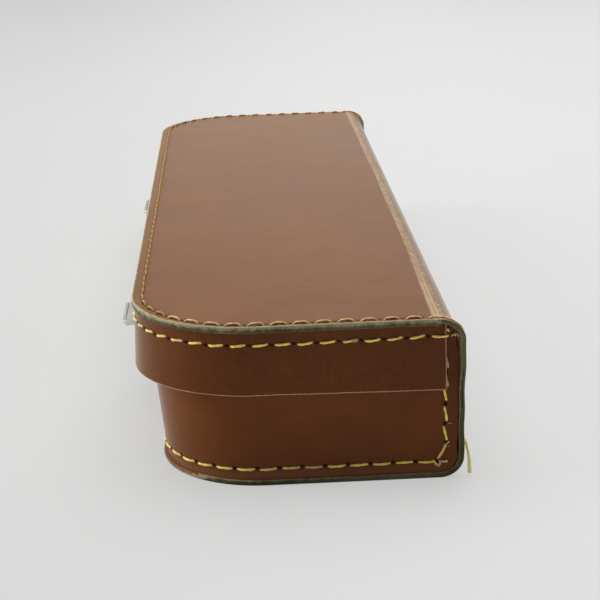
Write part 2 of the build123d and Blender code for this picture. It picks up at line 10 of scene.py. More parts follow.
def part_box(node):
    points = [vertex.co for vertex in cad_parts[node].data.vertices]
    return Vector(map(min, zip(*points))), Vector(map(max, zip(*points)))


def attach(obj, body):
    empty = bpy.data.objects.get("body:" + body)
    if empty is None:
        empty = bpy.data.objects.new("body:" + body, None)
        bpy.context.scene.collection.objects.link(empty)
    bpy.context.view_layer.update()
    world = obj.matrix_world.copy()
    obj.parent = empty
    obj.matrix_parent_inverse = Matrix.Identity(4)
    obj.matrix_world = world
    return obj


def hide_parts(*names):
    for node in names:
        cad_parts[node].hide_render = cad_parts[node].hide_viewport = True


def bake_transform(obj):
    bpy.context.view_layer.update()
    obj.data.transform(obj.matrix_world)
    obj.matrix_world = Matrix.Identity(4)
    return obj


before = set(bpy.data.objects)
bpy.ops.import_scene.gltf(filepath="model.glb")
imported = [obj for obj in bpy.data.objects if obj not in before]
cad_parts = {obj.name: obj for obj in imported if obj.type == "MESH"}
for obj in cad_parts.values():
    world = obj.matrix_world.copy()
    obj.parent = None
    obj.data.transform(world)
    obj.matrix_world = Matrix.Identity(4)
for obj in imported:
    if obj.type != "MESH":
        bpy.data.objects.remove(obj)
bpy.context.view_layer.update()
MM = 0.001
rng = np.random.default_rng(7)

# Places read from the frame
lid_low, lid_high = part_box("lid_top")
band_low, band_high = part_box("lid_band")
wrap_low, wrap_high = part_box("body_wrap")
top_z = lid_high.z
front_x = lid_low.x
end_y = lid_high.y
back_x = wrap_high.x
base_front = wrap_low.x
leather = lid_high.z - lid_low.z
band_bottom = band_low.z
lid_underside = lid_low.z
crease_x = lid_high.x + 0.15 * MM
fold = 8 * MM
end_slant = 2.5 * MM
lid_corner = 44 * MM
base_corner = 37 * MM
band_flare = 1 * MM
hole_depth = 0.28 * MM
hole_reach = 1.1 * MM
hole_sink = 0.1 * MM
hole_tip = 0.45 * MM
squeeze = 0.98
thread_sides = 10
wall_inset = 1.1 * MM
wall_end = 3.7 * MM
wall_growth = 2 * MM
lean = math.tan(math.radians(5.5))
pitch = 7.7 * MM
stitch_length = 5.4 * MM
band_row = lid_underside - 4.6 * MM
base_row = 5.9 * MM
top_row_front = 3.9 * MM
top_row_end = 2.5 * MM
wall_corner = base_corner - wall_inset
strip_seam = back_x - fold


def wall_face(height):
    """X of the base wall's outer face at a height."""
    return base_front + wall_inset - lean * (height - leather)


def bell(value, width, power=2):
    """One at zero, falling away on both sides."""
    return np.exp(-(value / width) ** power)


def part(value, span):
    """Share of a span that a value has covered, from zero to one."""
    return np.clip(value / span, 0, 1)


def join(*rows):
    return np.concatenate(rows)


def unit(vectors):
    """Vectors of length one along the last axis."""
    return vectors / np.linalg.norm(vectors, axis=-1, keepdims=True)


def put(name, data):
    """Object in the scene with this data."""
    made = bpy.data.objects.new(name, data)
    bpy.context.scene.collection.objects.link(made)
    return made


# Camera at the photograph's viewing angle
def aim_camera():
    yaw, tilt, roll = 0.04076, 0.3011, -0.02985
    stand = Vector((-18.38, -696.24, 223.15)) * MM
    ahead = Vector((math.sin(yaw) * math.cos(tilt), math.cos(yaw) * math.cos(tilt), -math.sin(tilt)))
    level = Vector((math.cos(yaw), -math.sin(yaw), 0))
    rise = level.cross(ahead)
    right = level * math.cos(roll) + rise * math.sin(roll)
    up = -level * math.sin(roll) + rise * math.cos(roll)
    data = bpy.data.cameras.new("camera")
    data.lens = 92.2
    data.sensor_width = 36
    camera = put("camera", data)
    place = Matrix((right, up, -ahead)).transposed().to_4x4()
    place.translation = stand
    camera.matrix_world = place
    bpy.context.scene.camera = camera


# Node materials
def srgb(red, green, blue):
    """Linear colour of a display colour given from 0 to 255."""
    channels = np.array([red, green, blue]) / 255
    linear = np.where(channels <= 0.04045, channels / 12.92, ((channels + 0.055) / 1.055) ** 2.4)
    return (*linear.tolist(), 1.0)


class Nodes:
    """A node tree, with short calls for the nodes that it needs."""

    def __init__(self, tree):
        self.tree = tree

    def feed(self, target, value):
        """Link a socket or give it a value; three numbers make a display colour."""
        if isinstance(value, bpy.types.NodeSocket):
            self.tree.links.new(value, target)
        elif target.type == "RGBA" and len(value) == 3:
            target.default_value = srgb(*value)
        else:
            target.default_value = value

    def node(self, kind, **settings):
        """New node; each setting names a socket, or else a property."""
        made = self.tree.nodes.new(kind)
        for key, value in settings.items():
            if key in made.inputs:
                self.feed(made.inputs[key], value)
            else:
                setattr(made, key, value)
        return made

    def math(self, operation, first, second):
        made = self.node("ShaderNodeMath", operation=operation)
        self.feed(made.inputs[0], first)
        self.feed(made.inputs[1], second)
        return made.outputs["Value"]

    def mix(self, share, first, second):
        """Colour that goes from first to second with the share."""
        made = self.node("ShaderNodeMix", data_type="RGBA")
        for index, value in ((0, share), (6, first), (7, second)):
            self.feed(made.inputs[index], value)
        return made.outputs[2]

    def seen(self):
        """One for rays from the camera, from mirrors and through glass, and zero for the rest."""
        rays = self.node("ShaderNodeLightPath").outputs
        seen = self.math("MAXIMUM", rays["Is Camera Ray"], rays["Is Glossy Ray"])
        return self.math("MAXIMUM", seen, rays["Is Transmission Ray"])


class Paint(Nodes):
    """One node material."""

    def __init__(self, name, **sockets):
        self.material = bpy.data.materials.new(name)
        self.material.use_nodes = True
        super().__init__(self.material.node_tree)
        self.shader = self.tree.nodes["Principled BSDF"]
        self.place = self.node("ShaderNodeTexCoord").outputs["Object"]
        self.send(**sockets)

    def send(self, **sockets):
        for socket, value in sockets.items():
            self.feed(self.shader.inputs[socket.replace("_", " ")], value)
        return self.material

    def value(self, name):
        """A number that the mesh carries at each of its points."""
        return self.node("ShaderNodeAttribute", attribute_name=name).outputs["Fac"]

    def axis(self, name):
        """One coordinate of the place."""
        return self.node("ShaderNodeSeparateXYZ", Vector=self.place).outputs[name]

    def stretch(self, x, y, z):
        return self.node("ShaderNodeMapping", Vector=self.place, Scale=(x, y, z)).outputs["Vector"]

    def noise(self, scale, detail=3.0, rough=0.5, warp=0.0, vector=None):
        made = self.node("ShaderNodeTexNoise", Vector=vector or self.place, Scale=scale, Detail=detail,
                         Roughness=rough, Distortion=warp)
        return made.outputs["Fac"]

    def cells(self, scale):
        return self.node("ShaderNodeTexVoronoi", Vector=self.place, Scale=scale).outputs["Distance"]

    def ramp(self, source, low, high, start=0.0, end=1.0):
        """Smooth step from start to end while the source goes from low to high."""
        made = self.node("ShaderNodeMapRange", Value=source, interpolation_type="SMOOTHSTEP")
        for index, value in enumerate((low, high, start, end), 1):
            made.inputs[index].default_value = value
        return made.outputs["Result"]

    def vary(self, source, noise, low, high, down, up):
        """The source made uneven: down to up is added while the noise goes from low to high."""
        return self.math("ADD", source, self.ramp(noise, low, high, down, up))

    def layers(self, colour, *layers):
        """Colour under layers, each a share and a colour."""
        for share, tone in layers:
            colour = self.mix(share, colour, tone)
        return colour

    def bump(self, height, distance, strength=1.0, under=None):
        links = {"Normal": under} if under else {}
        made = self.node("ShaderNodeBump", Height=height, Distance=distance, Strength=strength, **links)
        return made.outputs["Normal"]


def leather_paint():
    """Glossy brown leather with painted edges, a flaked crease, raw cuts and a suede back."""
    mat = Paint("case_leather", Specular_IOR_Level=0.09, Sheen_Weight=0.13, Sheen_Roughness=0.4,
                  Sheen_Tint=(240, 240, 176))
    clouds = mat.noise(24, 4, 0.55)
    spots = mat.noise(170, 3, 0.6)
    grain = mat.cells(2600)
    fine = mat.noise(1500, 2, 0.5)
    rubs = mat.noise(9, 5, 0.6, vector=mat.stretch(9, 1.2, 9))
    soil = mat.vary(mat.value("soil"), fine, 0.2, 0.8, -0.12, 0.12)
    # On the lid the crease value is wear; on the wrap's fold it is partly a painted highlight.
    crease = mat.value("crease")
    chips = mat.vary(crease, mat.noise(620, 3, 0.6), 0.3, 0.7, -0.12, 0.12)
    flakes = mat.vary(crease, mat.noise(260, 4, 0.7, 0.5), 0.3, 0.7, -0.34, 0.2)
    torn = mat.vary(flakes, mat.noise(800, 5, 0.75, 0.4), 0.25, 0.75, -0.4, 0.3)
    inside = mat.value("inside")
    cut = mat.ramp(mat.vary(mat.value("cut"), fine, 0.2, 0.8, -0.2, 0.2), 0.45, 0.6)
    brown = mat.layers(
        mat.mix(mat.ramp(clouds, 0.32, 0.7), (93, 49, 17), (101, 55, 20)),
        (mat.ramp(spots, 0.35, 0.75, 0, 0.4), (86, 44, 15)),
        (mat.ramp(rubs, 0.62, 0.8, 0, 0.2), (124, 80, 50)),
        # Darker brown round the stitch holes: partly dirt, partly painted shadow under the top-row stitches
        # and painted shade on the lid band.
        (mat.ramp(soil, 0.3, 1.0, 0, 0.75), (40, 19, 10)),
        # Painted light: a lighter brown towards the foot of the case.
        (mat.ramp(mat.axis("Z"), 0.0022, 0.0068, 0.42, 0), (134, 88, 60)),
        (mat.ramp(chips, 0.14, 0.5, 0, 0.8), (142, 112, 82)),
        (mat.ramp(torn, 0.38, 0.48), (150, 124, 95)),
        (inside, mat.mix(fine, (128, 88, 58), (160, 118, 82))),
        (cut, mat.mix(spots, (148, 106, 84), (182, 146, 120))))
    rim = mat.value("paint")
    painted = mat.ramp(mat.vary(rim, mat.noise(420, 4, 0.65), 0.25, 0.75, -0.28, 0.28), 0.45, 0.6)
    # Painted shade on the painted edges: the olive darkens with the edge value, towards the face turned away
    # from the light.
    depth = mat.ramp(mat.vary(rim, mat.noise(330, 4, 0.65), 0.3, 0.7, -0.15, 0.15), 0.85, 1.35)
    olive = mat.layers(
        mat.mix(depth, (146, 137, 103), (61, 57, 38)),
        (mat.ramp(mat.noise(11, 3, 0.5), 0.45, 0.7, 0, 0.45), (146, 135, 106)),
        (mat.ramp(fine, 0.55, 0.8, 0, 0.4), (152, 141, 111)),
        (mat.ramp(mat.value("ply"), 0.4, 0.8), (30, 25, 17)))
    matte = mat.math("MAXIMUM", painted, mat.math("MAXIMUM", cut, inside))
    rough = mat.ramp(clouds, 0.2, 0.8, 0.2, 0.27)
    rough = mat.math("ADD", rough, mat.math("MULTIPLY", matte, 0.47))
    relief = mat.bump(clouds, 0.0012, 0.35)
    relief = mat.bump(spots, 0.00012, 0.5, relief)
    relief = mat.bump(grain, 0.00004, 0.35, relief)
    relief = mat.bump(mat.math("MULTIPLY", fine, matte), 0.0003, 0.6, relief)
    return mat.send(Base_Color=mat.mix(painted, brown, olive), Roughness=rough, Normal=relief)


def thread_paint():
    """Waxed yellow two-ply thread; its dirt goes over tan and grey to olive, and below zero to a
    painted-light pale yellow.
    """
    mat = Paint("waxed_thread", Specular_IOR_Level=0.13, Sheen_Weight=0.03)
    tone = mat.noise(700, 3, 0.6)
    dirt = mat.vary(mat.value("dirt"), mat.noise(500, 3, 0.6), 0.3, 0.7, -0.12, 0.12)
    colour = mat.layers(
        mat.mix(tone, (221, 187, 74), (243, 220, 120)),
        (mat.ramp(dirt, 0.1, 0.5), (194, 159, 117)),
        (mat.ramp(dirt, 0.65, 0.95), (140, 120, 104)),
        (mat.ramp(dirt, 1.0, 1.2), (147, 112, 54)))
    # Painted light: below zero the thread turns pale yellow, lighter than clean thread.
    colour = mat.mix(mat.ramp(dirt, -0.6, -0.2), (253, 247, 172), colour)
    return mat.send(Base_Color=colour, Roughness=mat.ramp(tone, 0, 1, 0.5, 0.8),
                      Normal=mat.bump(mat.noise(3500, 2, 0.5), 0.00005, 0.5))


def hole_paint():
    """Painted shade in the awl holes: dark discs, unevenly a little browner."""
    mat = Paint("awl_holes", Roughness=0.8, Specular_IOR_Level=0.1)
    tone = mat.noise(900, 2, 0.5)
    return mat.send(Base_Color=mat.mix(tone, (20, 9, 6), (42, 20, 12)))


def metal_paint(name, dark, light, rough):
    """Plated metal with fine rubbing marks and a little tarnish."""
    mat = Paint(name, Metallic=1.0)
    marks = mat.noise(60, 4, 0.6, vector=mat.stretch(30, 4, 30))
    tarnish = mat.noise(140, 5, 0.65)
    colour = mat.mix(mat.ramp(tarnish, 0.3, 0.75), light, dark)
    gloss = mat.vary(mat.ramp(marks, 0.3, 0.7, 0, 0.07), tarnish, 0.4, 0.8, rough, rough + 0.1)
    relief = mat.bump(mat.noise(2600, 2, 0.5), 0.00001, 0.25)
    return mat.send(Base_Color=colour, Roughness=gloss, Normal=relief)


def velvet_paint():
    """Short wine-red plush with a brushed nap."""
    mat = Paint("plush", Roughness=0.85, Specular_IOR_Level=0.12, Sheen_Weight=0.7,
                  Sheen_Roughness=0.35, Sheen_Tint=(214, 120, 128))
    nap = mat.noise(14, 4, 0.6, 0.6, vector=mat.stretch(2, 1, 2))
    pile = mat.noise(2600, 2, 0.6)
    wine = mat.mix(mat.ramp(nap, 0.35, 0.65), (92, 14, 26), (128, 26, 40))
    wine = mat.mix(mat.ramp(pile, 0.25, 0.75, 0, 0.5), wine, (66, 8, 17))
    relief = mat.bump(nap, 0.0015, 0.3)
    relief = mat.bump(pile, 0.0004, 0.8, relief)
    return mat.send(Base_Color=wine, Normal=relief)


def floor_paint():
    """Pale paper floor whose bounce onto the case is that of a darker room."""
    mat = Paint("pale_floor", Roughness=0.9, Specular_IOR_Level=0.1, Emission_Strength=1.0)
    seen = mat.seen()
    tone = mat.noise(2.5, 2, 0.5)
    pale = mat.mix(tone, (0.133, 0.133, 0.132, 1), (0.157, 0.157, 0.156, 1))
    # Painted shade: the floor's glow is dimmer towards the left, against the left lamp's light there.
    glow_dim_left = mat.mix(mat.ramp(mat.axis("X"), -0.3, 0.2), (0.405, 0.405, 0.403, 1), (0.52, 0.52, 0.518, 1))
    return mat.send(Base_Color=mat.mix(seen, (0.78, 0.78, 0.78, 1), pale),
                      Emission_Color=mat.mix(seen, (0, 0, 0, 1), glow_dim_left))


hide = leather_paint()
waxed = thread_paint()
# dark: the awl holes' material, painted shade inside the holes
dark = hole_paint()
nickel = metal_paint("nickel_plate", (192, 192, 186), (221, 221, 216), 0.18)
steel = metal_paint("steel_wire", (120, 118, 114), (172, 170, 166), 0.3)
velvet = velvet_paint()


# Mesh helpers
def settled(made):
    """Mesh of an object once its modifiers are applied for good."""
    bpy.context.view_layer.update()
    shaped = bpy.data.meshes.new_from_object(made.evaluated_get(bpy.context.evaluated_depsgraph_get()))
    first = made.data
    made.modifiers.clear()
    made.data = shaped
    bpy.data.meshes.remove(first)
    return shaped


def coat(mesh, material):
    mesh.materials.clear()
    mesh.materials.append(material)


def grid(*shape):
    """Table of point numbers."""
    return np.arange(math.prod(shape)).reshape(shape)


def circle(count):
    """Even turns once round."""
    return np.linspace(0, 2 * math.pi, count, endpoint=False)


def quads(index):
    """Faces between neighbouring points of a table."""
    corners = (index[:-1, :-1], index[1:, :-1], index[1:, 1:], index[:-1, 1:])
    return np.stack(corners, -1).reshape(-1, 4).tolist()


def pipe(index):
    """Faces of a closed pipe whose rings are the rows of a table."""
    return quads(np.hstack([index, index[:, :1]])) + [index[0].tolist(), index[-1].tolist()]


def piece(name, points, faces, materials, values=None, sharp=50, face_materials=None):
    """Object of a mesh, with its numbers per point and its normals turned outward."""
    mesh = bpy.data.meshes.new(name)
    mesh.from_pydata(np.asarray(points, float).reshape(-1, 3).tolist(), [], faces)
    if face_materials is not None:
        mesh.polygons.foreach_set("material_index", face_materials)
    for key, numbers in (values or {}).items():
        attribute = mesh.attributes.new(key, "FLOAT", "POINT")
        attribute.data.foreach_set("value", np.asarray(numbers, np.float32))
    work = bmesh.new()
    work.from_mesh(mesh)
    bmesh.ops.recalc_face_normals(work, faces=work.faces)
    work.to_mesh(mesh)
    work.free()
    mesh.shade_smooth()
    mesh.set_sharp_from_angle(angle=math.radians(sharp))
    for material in materials:
        mesh.materials.append(material)
    return put(name, mesh)


def dress(made, body, node):
    """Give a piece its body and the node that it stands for."""
    if body:
        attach(made, body)
    if node:
        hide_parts(node)
    return made


def outline(ends, front, half, corner, turn, side):
    """Points and outward normals of a line along one end, round the front and back along the other.

    ends holds the X of each point along an end; turn and side count the steps at a corner and in front.
    """
    bend = np.linspace(0, math.pi / 2, turn + 1)[1:]
    along = np.linspace(corner - half, half - corner, side + 1)[1:]
    near = np.stack([ends, np.full(len(ends), -half)], 1)
    near_out = np.stack([-np.sin(bend), -np.cos(bend)], 1)
    far_out = np.stack([-np.cos(bend), np.sin(bend)], 1)
    points = join(near, (front + corner, corner - half) + corner * near_out,
                  np.stack([np.full(side, front), along], 1),
                  (front + corner, half - corner) + corner * far_out, (near * [1, -1])[-2::-1])
    normals = join(np.tile([0.0, -1.0], (len(ends), 1)), near_out, np.tile([-1.0, 0.0], (side, 1)),
                   far_out, np.tile([0.0, 1.0], (len(ends) - 1, 1)))
    return points, normals


def round_line(front, back, half, corner, ends, turn, side):
    """Outline with even steps from the back to the corners."""
    run = np.linspace(0, 1, ends + 1)
    return outline(back + (front + corner - back) * run, front, half, corner, turn, side)


def lengths(points):
    """Distance from the first point to each point along a line."""
    steps = np.linalg.norm(np.diff(points, axis=0), axis=1)
    return join([0.0], np.cumsum(steps))


def dimples(first, second, hole_first, hole_second, radius):
    """Depth that the stitch holes pull into a surface laid out in two lengths."""
    sunk = np.zeros(first.shape)
    for a, b in zip(hole_first, hole_second):
        near = (np.abs(first - a) < 4 * radius) & (np.abs(second - b) < 4 * radius)
        away = (first[near] - a) ** 2 + (second[near] - b) ** 2
        sunk[near] = np.maximum(sunk[near], hole_depth * np.exp(-away / radius ** 2))
    return sunk


def still(first, second):
    """No change anywhere on a surface."""
    return 0 * first


def loft(name, lines, levels, section, end_stop, material, holes=(), waves=still, cut_ends=0.0, soiled=0.0):
    """Upright strip between two plan lines, cut square at both ends.

    lines holds the plan line at the lowest and the highest level. section lists (inward, level, cut, inside)
    once round the strip, in millimetres. What would pass end_stop is squeezed to a fiftieth.
    """
    (low, out_low), (high, out_high) = lines
    section = np.array(section) * (MM, MM, 1, 1)
    inward, level, cut, inside = section.T
    share = ((level - levels[0]) / (levels[1] - levels[0]))[:, None]
    flat = low[:, None] * (1 - share) + high[:, None] * share
    outward = out_low[:, None] * (1 - share) + out_high[:, None] * share
    rows, columns = flat.shape[:2]
    run = np.tile(lengths(low)[:, None], (1, columns))
    level = np.tile(level, (rows, 1))
    outer = inside < 0.5
    sunk = np.zeros(run.shape)
    for row_run, row_level in holes:
        sunk += dimples(run, level, row_run, row_level, hole_reach)
    level = level + waves(run, level)
    flat = flat - outward * (inward + sunk * outer)[..., None]
    flat[..., 0] -= squeeze * np.clip(flat[..., 0] - end_stop(level), 0, None)
    cut = np.tile(cut, (rows, 1))
    cut[[0, -1]] = np.maximum(cut[[0, -1]], cut_ends)
    index = grid(rows, columns)
    # soiled darkens the whole outer face evenly: painted shade.
    values = {"paint": np.zeros(index.size), "cut": cut.reshape(-1), "inside": np.tile(inside, rows),
              "soil": (np.maximum(sunk / hole_depth, soiled) * outer).reshape(-1)}
    return piece(name, np.concatenate([flat, level[..., None]], -1), pipe(index), [material], values)


def flat_sheet(name, half, corner, marks, turn, side, section, place, material, holes=(),
               waves=still, creased=None, plied=still, edged=still, worn=still):
    """Sheet with two rounded front corners, laid out flat and then put in place.

    marks holds the distance of each row of points from the front, behind the corners. section lists
    (inset, depth, edge paint and painted shade, inside, ply) from the outer face over the edge to the inner.
    """
    line, outward = outline(np.asarray(marks)[::-1], 0.0, half, corner, turn, side)
    count, rings = len(line), len(section)
    border = line[:, None] - outward[:, None] * section[:, :1]
    index = grid(count, rings)
    rows = len(marks) + turn - 1
    columns = count - 2 * rows - 1
    inner = rows * (columns - 1)
    share = np.linspace(0, 1, columns + 1)[1:-1, None]
    faces = quads(index)
    flat = [border.reshape(-1, 2)]
    whole = [np.tile(section[:, 1:], (count, 1))]
    backs = []
    for ring in (0, rings - 1):
        left, right = border[:rows, ring], border[::-1][:rows, ring]
        table = np.zeros((rows + 1, columns + 1), int)
        table[:-1, 0] = index[:rows, ring]
        table[:-1, -1] = index[::-1][:rows, ring]
        table[:-1, 1:-1] = grid(rows, columns - 1) + index.size + inner * len(backs)
        table[-1] = index[rows:count - rows, ring]
        faces += quads(table)
        backs.append(table[0].tolist())
        flat.append((left[:, None] + (right - left)[:, None] * share).reshape(-1, 2))
        whole.append(np.tile(section[ring, 1:], (inner, 1)))
    faces.append(index[0].tolist() + backs[1][1:-1] + index[-1, ::-1].tolist() + backs[0][-2:0:-1])
    across, along = join(*flat).T
    deep, paint, inside, ply = join(*whole).T
    outer = inside < 0.5
    sunk = np.zeros(len(across))
    for row_a, row_y, wide in holes:
        sunk = np.maximum(sunk, outer * dimples(across, along, row_a, row_y, wide))
    deep = deep + sunk + outer * waves(across, along)
    edge = np.maximum(paint, edged(across, along) * outer)
    values = {"paint": edge * (1 - worn(across, along) * part(deep, MM)), "inside": inside,
              "ply": ply * plied(across, along), "soil": sunk / hole_depth}
    if creased:
        values["crease"] = creased(across, along) * outer
    return piece(name, place(across, along, deep), faces, [material], values)


def awl_holes(starts, stops, ahead, size, loose):
    """Centre and direction of each hole: one where two stitches meet and, if loose, one at each free end."""
    centres, ways = [], []
    for index in range(len(starts)):
        for spot, others, way in ((stops[index], starts, 1), (starts[index], stops, -1)):
            away = np.linalg.norm(others - spot, axis=1)
            away[index] = 1
            nearest = int(np.argmin(away))
            free = away[nearest] > 2 * size[0] + 2 * MM
            if free and loose:
                centres.append(spot + ahead[index] * way * 0.5 * size[0])
            elif way > 0 and not free:
                centres.append((spot + others[nearest]) / 2)
            else:
                continue
            ways.append(index)
    return np.array(centres), np.array(ways, int)


def sew(name, node, starts, stops, normals, body, dirt, radius=0.43 * MM, rise=0.34 * MM, slant=0.22 * MM,
        hole=(0.75 * MM, 0.55 * MM), loose=True, lift=None):
    """Row of two-ply stitches from one awl hole into the next, with one normal or many.

    Each hole is a disc of painted shade over a shallow cone; lift shifts the holes sideways.
    """
    normals = np.broadcast_to(np.asarray(normals, float), starts.shape)
    count, knots, rim = len(starts), 13, 12
    along = stops - starts
    ahead = unit(along)
    across = np.cross(normals, ahead)
    slant = rng.normal(slant, 0.08 * MM, (count, 1, 1))
    rise = rng.normal(rise, 0.05 * MM, (count, 1, 1))
    bow = rng.normal(0, 0.09 * MM, (count, 1, 1))
    share = np.linspace(0, 1, knots)[:, None]
    arch = 1 - np.abs(2 * share - 1) ** 3.2
    drop = 0.75 * MM
    line = (starts[:, None] + along[:, None] * share
            + across[:, None] * (slant * (2 * share - 1) + bow * arch)
            + normals[:, None] * (arch * (rise + drop) - drop))
    points, faces = tubes(line, normals[:, None], radius)
    kinds = [0] * len(faces)
    grey = np.repeat(np.asarray(dirt, float), knots * thread_sides)
    centres, ways = awl_holes(starts, stops, ahead, hole, loose)
    centres = centres + rng.normal(0, 0.12 * MM, centres.shape)
    if lift is not None:
        centres += across[ways] * lift[ways, None]
    out = normals[ways]
    turn = circle(rim)[:, None]
    lip = ahead[ways][:, None] * np.cos(turn) * hole[0] + across[ways][:, None] * np.sin(turn) * hole[1]
    lip *= rng.normal(1, 0.08, (len(ways), rim, 1))
    centres = centres - np.sum((centres - starts[ways]) * out, axis=1)[:, None] * out
    discs = centres[:, None] + lip - (out * hole_sink)[:, None]
    tips = centres - out * hole_tip
    table = grid(len(ways), rim) + len(points)
    faces += table.tolist()
    for tip, row in enumerate(table.tolist(), len(points) + table.size):
        faces += [[after, before, tip] for before, after in zip(row, row[1:] + row[:1])]
    kinds += [1] * (len(table) + table.size)
    values = {"dirt": join(grey, np.zeros(table.size + len(tips)))}
    points = join(points, discs.reshape(-1, 3), tips)
    # The thread takes waxed and the holes take dark, their painted shade.
    made = piece(name, points, faces, [waxed, dark], values, 80, kinds)
    dress(made, body, node)


def tubes(line, above, radius):
    """Points and faces of twisted two-ply tubes along many lines of equal length."""
    tangent = np.gradient(line, axis=1)
    reach = np.cumsum(np.linalg.norm(tangent, axis=2, keepdims=True), axis=1)
    tangent = unit(tangent)
    side_way = unit(np.cross(tangent, above))
    up_way = np.cross(side_way, tangent)
    turn = circle(thread_sides)
    phase = rng.uniform(0, 6, (len(line), 1, 1)) + reach / (0.5 * MM)
    thick = radius * (1 + 0.14 * np.cos(2 * turn - phase))
    ring = side_way[:, :, None] * np.cos(turn)[:, None] + up_way[:, :, None] * np.sin(turn)[:, None]
    points = line[:, :, None] + ring * thick[..., None]
    faces = []
    for table in grid(*thick.shape):
        faces += pipe(table)
    return points.reshape(-1, 3), faces


def strands(name, node, routes, body, origin=(0, 0, 0)):
    """Free ends and knots of thread; each route holds a radius, its dirt (below zero painted light) and
    points in millimetres.
    """
    points, faces, grey = [], [], []
    for radius, dirt, route in routes:
        line = (np.array(route, float) + origin) * MM
        for _ in range(3):
            cut = np.stack([0.75 * line[:-1] + 0.25 * line[1:], 0.25 * line[:-1] + 0.75 * line[1:]], 1)
            line = join(line[:1], cut.reshape(-1, 3), line[-1:])
        made, around = tubes(line[None], np.array([0.2, -1.0, 0.3]), radius * MM)
        first = sum(len(block) for block in points)
        faces += [[number + first for number in face] for face in around]
        points.append(made)
        grey.append(np.full(len(made), dirt))
    made = piece(name, join(*points), faces, [waxed], {"dirt": join(*grey)}, 80)
    return dress(made, body, node)


def row_on_line(points, normals, level, spacing=pitch, size=stitch_length, shift=0.0):
    """Stitch starts, stops and normals along a plan line at one level, and how far along it the holes are."""
    run = lengths(points)
    count = int(run[-1] // spacing)
    middles = (np.arange(count) + 0.5) * run[-1] / count + shift
    begin, finish = middles - size / 2, middles + size / 2

    def at(distance):
        flat = np.stack([np.interp(distance, run, points[:, axis]) for axis in (0, 1)], 1)
        flat[:, 0] += np.abs(np.minimum(distance, 0) + np.maximum(distance - run[-1], 0))
        out = unit(np.stack([np.interp(distance, run, normals[:, axis]) for axis in (0, 1)], 1))
        return np.insert(flat, 2, level, 1), np.insert(out, 2, 0, 1)

    marks = join(begin[:1], (begin[1:] + finish[:-1]) / 2, finish[-1:])
    return at(begin)[0], at(finish)[0], at((begin + finish) / 2)[1], marks


# Lid: one sheet of leather that runs over the crease and onto the strip behind it
def lid_place(a, y, depth):
    return np.stack([front_x + a, y, top_z - depth], 1)


def crease_line(y):
    """X of the worn line, which bows a little towards the back."""
    return crease_x + 1.3 * MM * (1 - (y / end_y) ** 2) + 0.15 * MM * np.sin(y / (21 * MM))


def lid_waves(a, y):
    """Groove along the crease and a slow unevenness of the sheet."""
    x = a + front_x
    groove = 0.25 * MM * bell(x - crease_line(y), 0.8 * MM)
    slow = np.sin(y / (31 * MM) + 1) * np.sin(a / (23 * MM)) + np.sin(y / (57 * MM) + a / (40 * MM))
    return groove + 0.05 * MM * slow


def lid_crease(a, y):
    """How worn the crease is, most of all at its near end."""
    away = a + front_x - crease_line(y)
    near = np.exp(-(y + end_y) / (60 * MM))
    width = np.where(away < 0, 0.85 + 0.35 * near, 2.2) * MM
    return (0.6 + 0.5 * near) * bell(away, width)


def sheet_section(insets, thickness, rim, rim_light_to_shade):
    """Section of a leather sheet: outer face, thinned painted edge of two plies with painted shade, suede
    face.
    """
    shades = np.interp(np.linspace(0, 1, 7), (0, 1), rim_light_to_shade)
    rows = [(inset, 0, 0, 0, 0) for inset in insets]
    rows += [(1.2, 0, 0, 0, 0), (0.8, 0.01, 0.2, 0, 0), (0.5, 0.03, 0.5, 0, 0), (0.25, 0.09, 0.8, 0, 0)]
    edge = ((0.08, 0.11, 0), (0, 0.22, 0), (0, 0.42, 0), (0, 0.5, 1), (0, 0.58, 1), (0, 0.8, 0),
            (0.08, 0.93, 0))
    rows += [(inset, rim * share, shade, 0, ply) for (inset, share, ply), shade in zip(edge, shades)]
    rows += [(0.3, rim, 1, 0, 0), (1.4, rim, 1, 0, 0), (2.2, rim, 0.5, 0, 0), (3.6, rim + 0.05, 0, 1, 0),
             (5.4, 2.4, 0, 1, 0), (12, 2.4, 0, 1, 0)]
    return np.array(rows) * (MM, thickness / 2.4, 1, 1, 1)


def steps(low, turn, high, first, second):
    """Marks that rise from low to turn by the first step and on to high by the second."""
    return join(np.arange(low, turn - first / 3, first), np.arange(turn, high - second / 3, second), [high])


top_row, top_row_out = round_line(
    front_x + top_row_front, lid_high.x - 3.2 * MM, end_y - top_row_end, lid_corner - top_row_front,
    80, 60, 300)
top_starts, top_stops, top_out, _ = row_on_line(top_row, top_row_out, top_z, pitch, 5.9 * MM, 0.4 * MM)
top_gaps = join(top_starts[:1], (top_stops[:-1] + top_starts[1:]) / 2, top_stops[-1:])
# Painted shadow: dark dimples just outside each top-row stitch stand in for the shadow under the thread.
shadow_slots = join(*[top_starts + share * (top_stops - top_starts) + 0.5 * MM * top_out
               for share in (0.14, 0.32, 0.5, 0.68, 0.86)])
lid_holes = [(top_gaps[:, 0] - front_x, top_gaps[:, 1], hole_reach),
             (shadow_slots[:, 0] - front_x, shadow_slots[:, 1], 0.62 * MM)]
# The lid's edge goes from light on top to dark underneath (0.9 to 1.4): painted shade.
lid_sheet = flat_sheet(
    "lid_sheet", end_y, lid_corner,
    steps(lid_corner, crease_x - front_x - 4 * MM, strip_seam - front_x, 0.8 * MM, 0.3 * MM),
    86, 390, sheet_section([12, 9, 7.4, 6.4, 5.9, 5.4, 5.0, 4.6, 4.2, 3.9, 3.6, 3.3, 3.0, 2.7, 2.3, 1.9, 1.5],
                           leather, 2.45, (0.9, 1.4)),
    lid_place, hide, lid_holes, lid_waves, lid_crease,
    edged=lambda a, y: 0.75 * part(y - end_y + 2.4 * MM, 1 * MM))
dress(lid_sheet, None, "lid_top")
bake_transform(lid_sheet)

